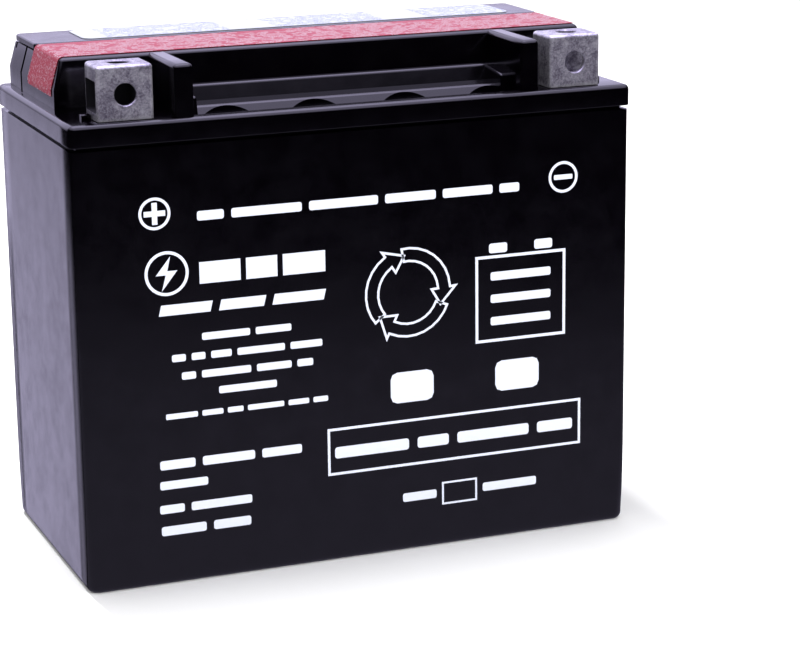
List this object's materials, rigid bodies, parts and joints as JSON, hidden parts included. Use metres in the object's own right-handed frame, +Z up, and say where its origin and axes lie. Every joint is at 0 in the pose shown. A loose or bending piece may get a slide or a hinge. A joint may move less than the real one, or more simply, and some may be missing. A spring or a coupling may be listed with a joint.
{
  "type": "motorcycle battery",
  "caption": "Sealed black box battery with a raised back block, a lift-off cap strip, a front grip recess between two fins, and a cast terminal block at each front corner.",
  "frame": {"origin": "centre of the underside", "axes": "+X along the length towards the negative terminal, +Y from the front face to the back, +Z up"},
  "size_m": [0.175, 0.087, 0.155],
  "materials": {
    "case_plastic": "moulded gloss black",
    "strip_plastic": "moulded, slightly duller black",
    "terminal_lead": "cast lead alloy, mottled grey with worn bright edges",
    "plate_lead": "cast lead alloy, dull",
    "positive_paste": "dry brown paste on a lead grid",
    "glass_mat": "white non-woven glass mat",
    "rubber": "moulded black rubber",
    "porous_plastic": "sintered porous disc",
    "white_film": "white printed film",
    "red_film": "red printed film"
  },
  "bodies": {
    "battery": {"container": "case_plastic", "lid": "case_plastic", "block_label": "red_film", "positive_terminal": "terminal_lead", "negative_terminal": "terminal_lead", "positive_post": "plate_lead", "positive_bushing": "plate_lead", "positive_post_seal": "rubber", "negative_post": "plate_lead", "negative_bushing": "plate_lead", "negative_post_seal": "rubber", "positive_plates_1": "positive_paste", "negative_plates_1": "plate_lead", "positive_plates_2": "positive_paste", "negative_plates_2": "plate_lead", "positive_plates_3": "positive_paste", "negative_plates_3": "plate_lead", "positive_plates_4": "positive_paste", "negative_plates_4": "plate_lead", "positive_plates_5": "positive_paste", "negative_plates_5": "plate_lead", "positive_plates_6": "positive_paste", "negative_plates_6": "plate_lead", "separator_1": "glass_mat", "separator_2": "glass_mat", "separator_3": "glass_mat", "separator_4": "glass_mat", "separator_5": "glass_mat", "separator_6": "glass_mat", "intercell_weld_1": "plate_lead", "intercell_weld_2": "plate_lead", "intercell_weld_3": "plate_lead", "intercell_weld_4": "plate_lead", "intercell_weld_5": "plate_lead", "flame_arrestor": "porous_plastic"},
    "cap_strip": {"cap_strip": "strip_plastic", "strip_label": "white_film"},
    "relief_valve": {"relief_valve": "rubber"}
  },
  "joints": [
    {"name": "strip_lift", "type": "slide", "parent": "battery", "child": "cap_strip", "axis": [0, 0, 1], "range_m": [0, 0.03]},
    {"name": "valve_lift", "type": "slide", "parent": "battery", "child": "relief_valve", "axis": [0, 0, 1], "range_m": [0, 0.0004], "stiffness_N_per_m": 200, "springref_m": -0.0015}
  ]
}
